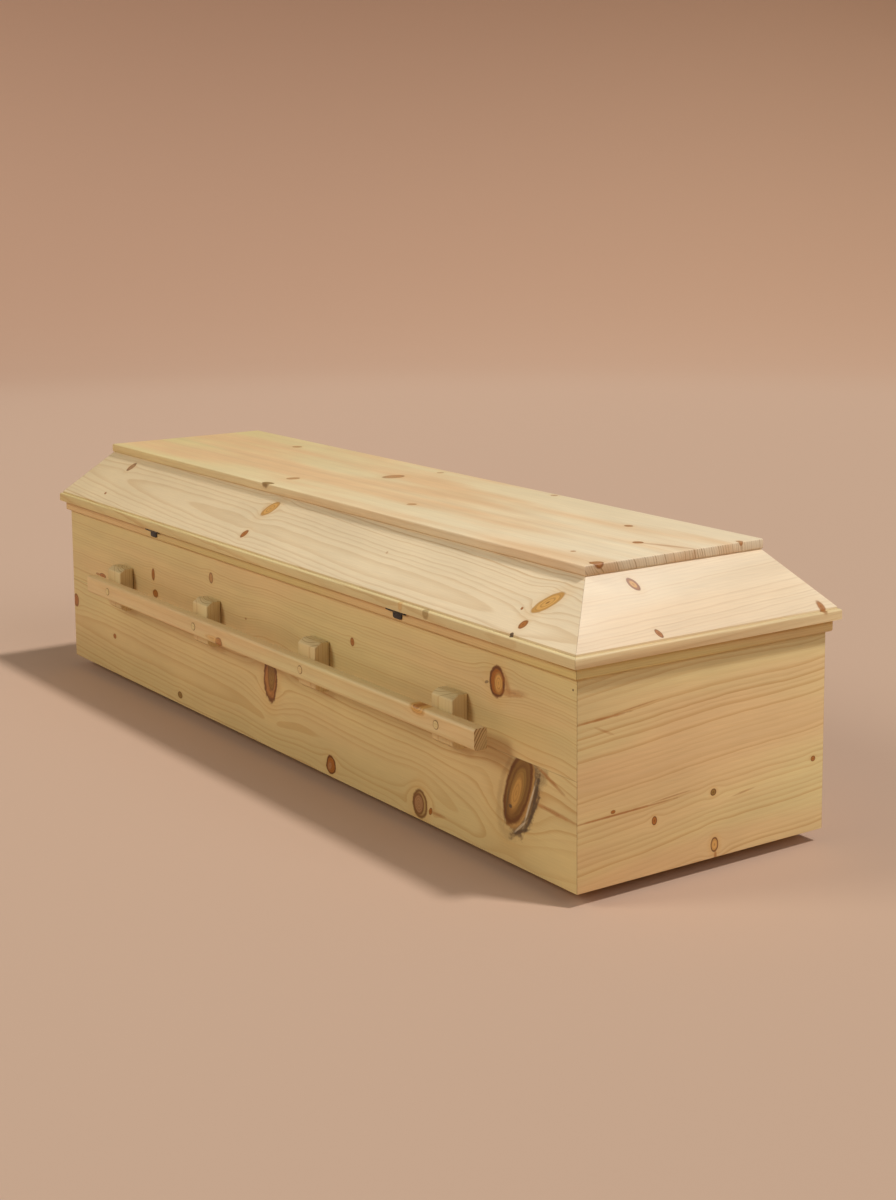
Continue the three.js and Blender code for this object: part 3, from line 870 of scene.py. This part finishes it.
def grown_piece(name, tree, places, settings):
    """Runs a tree of Geometry Nodes on the points in places and keeps its plain mesh."""
    mesh = bpy.data.meshes.new(name)
    mesh.from_pydata([tuple(place) for place in places], [], [])
    piece = new_piece(name, mesh)
    modifier = piece.modifiers.new("grown", "NODES")
    modifier.node_group = tree
    sockets = {item.name: item.identifier for item in tree.interface.items_tree
               if item.in_out == "INPUT"}
    for key, value in settings.items():
        modifier[sockets[key]] = value
    plain_mesh(piece, name)
    return piece


def batten_tree():
    """Square timbers with round arrises, laid across on each point."""
    inputs = {"Length": "Float", "Width": "Float", "Height": "Float", "Arris": "Float",
              "Material": "Material"}
    w, given, leave = tree_of_geometry("Bearer battens", inputs)
    section = w.add("GeometryNodeCurvePrimitiveQuadrilateral",
                    {"Width": given["Width"], "Height": given["Height"]}).outputs[0]
    rounded = w.add("GeometryNodeFilletCurve", {"Curve": section, "Radius": given["Arris"], "Count": 3},
                    mode="POLY").outputs[0]
    half = w.times(given["Length"], 0.5)
    spine = w.add("GeometryNodeCurvePrimitiveLine",
                  {"Start": w.combine(0.0, 0.0, w.times(half, -1.0)),
                   "End": w.combine(0.0, 0.0, half)}).outputs[0]
    timber = w.add("GeometryNodeCurveToMesh", {"Curve": spine, "Profile Curve": rounded,
                                               "Fill Caps": True}).outputs[0]
    laid = w.add("GeometryNodeTransform", {"Geometry": timber, "Rotation": (pi / 2, 0.0, 0.0)}).outputs[0]
    spread = w.add("GeometryNodeInstanceOnPoints", {"Points": given["Geometry"], "Instance": laid})
    end_tree(w, spread.outputs[0], given["Material"], leave)
    return w.tree


def plug_tree():
    """Round wood plugs with a low crown, facing away from the box on each point."""
    inputs = {"Radius": "Float", "Depth": "Float", "Crown": "Float", "Material": "Material"}
    crown_power, top_share = 2.4, 0.49
    w, given, leave = tree_of_geometry("Rail plugs", inputs)
    rounds = w.add("GeometryNodeMeshCylinder",
                   {"Vertices": 40, "Side Segments": 4, "Fill Segments": 5, "Radius": given["Radius"],
                    "Depth": given["Depth"]}).outputs["Mesh"]
    position = w.add("GeometryNodeInputPosition").outputs[0]
    x, y, z = w.split(position)
    share = w.math("DIVIDE", w.vector("LENGTH", w.combine(x, y, 0.0)), given["Radius"])
    dome = w.minus(1.0, w.math("POWER", share, crown_power))
    on_top = w.math("GREATER_THAN", z, w.times(given["Depth"], top_share))
    rise = w.times(dome, given["Crown"], on_top)
    # The share of the radius is kept as rim, so that the material can paint the glue line and the shade of
    # the gap at the plug's rim.
    marked = w.add("GeometryNodeStoreNamedAttribute", {"Geometry": rounds, "Name": "rim", "Value": share},
                   data_type="FLOAT", domain="POINT").outputs[0]
    crowned = w.add("GeometryNodeSetPosition",
                    {"Geometry": marked, "Offset": w.combine(0.0, 0.0, rise)}).outputs[0]
    point_y = w.split(position)[1]
    turn = w.times(w.math("SIGN", point_y), -pi / 2)
    facing = w.add("FunctionNodeEulerToRotation", {0: w.combine(turn, 0.0, 0.0)}).outputs[0]
    spread = w.add("GeometryNodeInstanceOnPoints",
                   {"Points": given["Geometry"], "Instance": crowned, "Rotation": facing})
    end_tree(w, spread.outputs[0], given["Material"], leave)
    return w.tree


def screw_tree():
    """Low round screw heads with a cross recess, one on each point, turned by Turn."""
    inputs = {"Radius": "Float", "Rise": "Float", "Slot": "Float", "Turn": "Vector",
              "Material": "Material"}
    dome_power, dome_drop, slot_length = 3.0, -0.7, 1.15
    w, given, leave = tree_of_geometry("Hinge screws", inputs)
    sunk = w.times(given["Rise"], 2.0)
    head = w.add("GeometryNodeMeshCylinder",
                 {"Vertices": 28, "Side Segments": 1, "Fill Segments": 3, "Radius": given["Radius"],
                  "Depth": sunk}).outputs["Mesh"]
    position = w.add("GeometryNodeInputPosition").outputs[0]
    x, y, z = w.split(position)
    share = w.math("DIVIDE", w.vector("LENGTH", w.combine(x, y, 0.0)), given["Radius"])
    drop = w.times(w.math("POWER", share, dome_power), w.times(given["Rise"], dome_drop))
    drop = w.times(drop, w.math("GREATER_THAN", z, 0.0))
    domed = w.add("GeometryNodeSetPosition",
                  {"Geometry": head, "Offset": w.combine(0.0, 0.0, drop)}).outputs[0]
    reach = w.times(given["Radius"], slot_length)
    recess = [
        w.add("GeometryNodeTransform",
              {"Geometry": w.add("GeometryNodeMeshCube", {"Size": size}).outputs["Mesh"],
               "Translation": w.combine(0.0, 0.0, given["Rise"])}).outputs[0]
        for size in (w.combine(reach, given["Slot"], given["Rise"]),
                     w.combine(given["Slot"], reach, given["Rise"]))
    ]
    cut = domed
    for bar in recess:
        node = w.add("GeometryNodeMeshBoolean", operation="DIFFERENCE")
        w.feed(node.inputs[0], cut)
        w.feed(node.inputs[1], bar)
        cut = node.outputs[0]
    facing = w.add("FunctionNodeEulerToRotation", {0: given["Turn"]}).outputs[0]
    spread = w.add("GeometryNodeInstanceOnPoints",
                   {"Points": given["Geometry"], "Instance": cut, "Rotation": facing})
    end_tree(w, spread.outputs[0], given["Material"], leave)
    return w.tree


class COFFIN_OT_bottom(bpy.types.Operator):
    """The floor panel inside the box and the battens that it stands on"""
    bl_idname = "coffin.bottom"
    bl_label = "Floor panel and battens"

    def execute(self, context):
        arris = context.scene.coffin_finish.board_arris
        panel = Board(Vector((0, 0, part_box("floor_panel")[1].z)), UP, Vector((0, 1, 0)),
                      Grain(-0.05, 0.06, 1.2, 0.02, contrast=0.36, warmth=0.6), seed=21.0,
                      knots=(Knot(-520, 120, 16, 13), Knot(240, -90, 12, 10), Knot(640, 60, 8, 7),
                             Knot(-90, 30, 6, 5)))
        board_piece("floor_panel", panel, "box", arris)
        nodes = ["batten_1", "batten_2", "batten_3"]
        size = extent(nodes[0])
        batten = Board(middle(nodes[1]), UP, Vector((-1, 0, 0)), Grain(contrast=0.45, warmth=0.8),
                       seed=22.0)
        material = pine("batten_grain", batten)
        settings = {"Length": size.y, "Width": size.x, "Height": size.z, "Arris": arris * 2,
                    "Material": material}
        battens = grown_piece("bearer_battens", batten_tree(), [middle(node) for node in nodes], settings)
        finished(battens, material, "box", nodes)
        return {"FINISHED"}


class COFFIN_OT_handles(bpy.types.Operator):
    """Two hand rails, their blocks and the plugs over their screws"""
    bl_idname = "coffin.handles"
    bl_label = "Hand rails"

    def execute(self, context):
        finish = context.scene.coffin_finish
        rail_grain = Grain(0.175, 0.14, 0.9, slant=0.004, late_start=0.4, contrast=0.26, warmth=0.75,
                           rose=0.55, end_contrast=2.2)
        rail_knots = {"front": FRONT_RAIL_KNOTS, "back": (Knot(310, 262, 12, 8), Knot(-480, 246, 9, 7))}
        for number, side in enumerate(RAIL_SIDES):
            outward = OUTWARD[side]
            node = "rail_" + side
            rail = Board(outer_face(node, outward), outward, UP, rail_grain, wander=0.008,
                         seed=31.0 + number, knots=rail_knots[side])
            board_piece(node, rail, "box", finish.board_arris)
            for place in RAIL_PLACES:
                node = f"rail_block_{side}_{place}"
                origin = Vector((middle(node).x, 0, 0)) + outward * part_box(node)[1].dot(outward)
                grain = Grain(0.05 - 0.02 * place, 0.05, 0.8, contrast=0.5, warmth=0.7, rose=0.2)
                block = Board(origin, outward, UP.cross(outward) * -1, grain, wander=0.01,
                              seed=40.0 + number * 10 + place)
                board_piece(node, block, "box", finish.block_arris)
        crown = 0.8 * MM
        nodes = []
        places = []
        for side in RAIL_SIDES:
            for place in RAIL_PLACES:
                node = f"rail_plug_{side}_{place}"
                nodes.append(node)
                places.append(middle(node) - OUTWARD[side] * crown / 2)
        size = extent(nodes[0])
        plug = Board(middle(nodes[0]), OUTWARD["front"], UP,
                     Grain(0.03, 0.03, 0.5, contrast=0.4, warmth=0.8), seed=51.0, glue_and_shade_rim=True)
        material = pine("plug_grain", plug)
        settings = {"Radius": size.x / 2, "Depth": size.y - crown, "Crown": crown, "Material": material}
        plugs = grown_piece("rail_plugs", plug_tree(), places, settings)
        finished(plugs, material, "box", nodes)
        return {"FINISHED"}


class COFFIN_OT_hinges(bpy.types.Operator):
    """Two black hinges under the lid's moulding, with their screws"""
    bl_idname = "coffin.hinges"
    bl_label = "Hinges"

    def execute(self, context):
        finish = context.scene.coffin_finish
        hardware = context.scene.coffin_hardware
        steel = black_steel()
        beside, drop, leaf_thickness = 9 * MM, 8 * MM, 1.8 * MM
        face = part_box("trim_front")[0].y - leaf_thickness
        places = []
        for end in ("foot", "head"):
            for leaf, body in (("box_leaf", "box"), ("lid_leaf", "lid")):
                node = f"hinge_{end}_{leaf}"
                piece = joined_copy(node, node + "_steel")
                soften(piece, finish.metal_arris)
                finished(piece, steel, body, [node])
            node = f"hinge_{end}_box_leaf"
            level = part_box(node)[0].z + drop
            places += [Vector((middle(node).x + way * beside, face, level)) for way in (-1, 1)]
        settings = {"Radius": hardware.screw_head / 2, "Rise": hardware.screw_rise,
                    "Slot": hardware.screw_slot, "Turn": (pi / 2, 0.0, 0.0), "Material": steel}
        screws = grown_piece("box_leaf_screws", screw_tree(), places, settings)
        dressed(screws, steel, "box")
        return {"FINISHED"}


def floor_material():
    """A plain pale floor, matt, that ends in a darker wall."""
    colour = bpy.context.scene.coffin_stage.floor_colour
    wall_share = (0.88, 0.8, 0.74)
    wall_start, wall_full = 6.6, 10.0
    wall_colour = [part * share for part, share in zip(colour, wall_share)]
    material, w, shader = new_material("pale_floor")
    place = w.add("ShaderNodeTexCoord").outputs["Object"]
    on_wall = w.ramp(w.vector("LENGTH", place), wall_start, wall_full)
    w.feed(shader.inputs["Base Color"], w.mix(on_wall, rgba(colour), rgba(wall_colour)))
    shader.inputs["Roughness"].default_value = 0.9
    shader.inputs["Specular IOR Level"].default_value = 0.15
    return material


def round_cove(radius, bend, height, steps, sides):
    """A flat round floor that curves up into a wall all round."""
    rings = [(radius, 0.0)]
    rings += [(radius + bend * sin(pi / 2 * i / steps), bend * (1 - cos(pi / 2 * i / steps)))
              for i in range(1, steps + 1)]
    rings.append((radius + bend, height))
    points = [(0.0, 0.0, 0.0)]
    for reach, level in rings:
        points += [(reach * cos(2 * pi * i / sides), reach * sin(2 * pi * i / sides), level)
                   for i in range(sides)]
    faces = [(0, 1 + i, 1 + (i + 1) % sides) for i in range(sides)]
    for ring in range(len(rings) - 1):
        start = 1 + ring * sides
        faces += [(start + i, start + sides + i, start + sides + (i + 1) % sides, start + (i + 1) % sides)
                  for i in range(sides)]
    mesh = bpy.data.meshes.new("studio_floor")
    mesh.from_pydata(points, [], faces)
    mesh.shade_smooth()
    return new_piece("studio_floor", mesh)


def aimed(back, roll=0.0):
    """The turn of a lamp or camera whose back points along back, rolled about its line of sight."""
    right = UP.cross(back).normalized()
    up = back.cross(right)
    turned_right = right * cos(roll) + up * sin(roll)
    turned_up = up * cos(roll) - right * sin(roll)
    return Matrix((turned_right, turned_up, back)).transposed().to_euler()


def sun(name, toward, strength, spread, colour):
    """A distant light that comes from toward. A wide spread makes it soft."""
    lamp = bpy.data.lights.new(name, "SUN")
    lamp.energy = strength
    lamp.angle = spread
    lamp.color = colour
    piece = new_piece(name, lamp)
    back = Vector(toward).normalized()
    piece.rotation_euler = aimed(back)
    piece.location = back * 5


class COFFIN_OT_stage(bpy.types.Operator):
    """The pale floor, the soft lights and the camera"""
    bl_idname = "coffin.stage"
    bl_label = "Stage"

    def execute(self, context):
        scene = context.scene
        stage = scene.coffin_stage
        cove = round_cove(radius=8.0, bend=3.0, height=4.5, steps=12, sides=72)
        cove.data.materials.append(floor_material())
        sun("back_light", (0.43, 0.3, 1.0), 1.86, radians(6), (1.0, 0.985, 0.98))
        sun("end_light", (1.0, 0.2, 0.6), 0.7, radians(35), (1.0, 1.0, 1.04))
        sun("front_light", (-0.5, -1.0, 0.72), 0.97, radians(20), (1.0, 0.99, 0.88))
        world = bpy.data.worlds.new("soft_room")
        world.use_nodes = True
        background = world.node_tree.nodes["Background"]
        background.inputs["Color"].default_value = (1.0, 0.985, 0.95, 1.0)
        background.inputs["Strength"].default_value = 0.18
        scene.world = world
        scene.view_settings.view_transform = "Standard"

        azimuth = stage.camera_azimuth
        elevation = stage.camera_elevation
        back = Vector((sin(azimuth) * cos(elevation), -cos(azimuth) * cos(elevation), sin(elevation)))
        lens = bpy.data.cameras.new("camera")
        lens.lens = stage.lens
        lens.sensor_width = 36.0
        photo_height = 1200
        horizon_offset = 150
        lens.shift_y = -horizon_offset / photo_height
        camera = new_piece("camera", lens)
        camera.location = stage.camera_place
        camera.rotation_euler = aimed(back, stage.camera_roll)
        scene.camera = camera
        return {"FINISHED"}


class COFFIN_PT_panel(bpy.types.Panel):
    """The coffin's sizes, colours and building steps"""
    bl_idname = "COFFIN_PT_panel"
    bl_label = "Coffin"
    bl_space_type = "VIEW_3D"
    bl_region_type = "UI"
    bl_category = "Coffin"

    def draw(self, context):
        for step in BUILD_STEPS:
            self.layout.operator(step.bl_idname)
        for group in SETTINGS:
            for key in SETTINGS[group].__annotations__:
                self.layout.prop(getattr(context.scene, group), key)


SETTINGS = {
    "coffin_timber": CoffinTimber,
    "coffin_finish": CoffinFinish,
    "coffin_hardware": CoffinHardware,
    "coffin_stage": CoffinStage,
}
BUILD_STEPS = (
    COFFIN_OT_stage,
    COFFIN_OT_box_boards,
    COFFIN_OT_bottom,
    COFFIN_OT_trim,
    COFFIN_OT_lid,
    COFFIN_OT_handles,
    COFFIN_OT_hinges,
)


def register():
    for kind in (*SETTINGS.values(), *BUILD_STEPS, COFFIN_PT_panel):
        bpy.utils.register_class(kind)
    for name, kind in SETTINGS.items():
        setattr(bpy.types.Scene, name, PointerProperty(type=kind))


def unregister():
    for name in SETTINGS:
        delattr(bpy.types.Scene, name)
    for kind in (COFFIN_PT_panel, *reversed(BUILD_STEPS), *reversed(SETTINGS.values())):
        bpy.utils.unregister_class(kind)


def main():
    register()
    bpy.ops.coffin.stage()
    bpy.ops.coffin.box_boards()
    bpy.ops.coffin.bottom()
    bpy.ops.coffin.trim()
    bpy.ops.coffin.lid()
    bpy.ops.coffin.handles()
    bpy.ops.coffin.hinges()


if __name__ == "__main__":
    main()
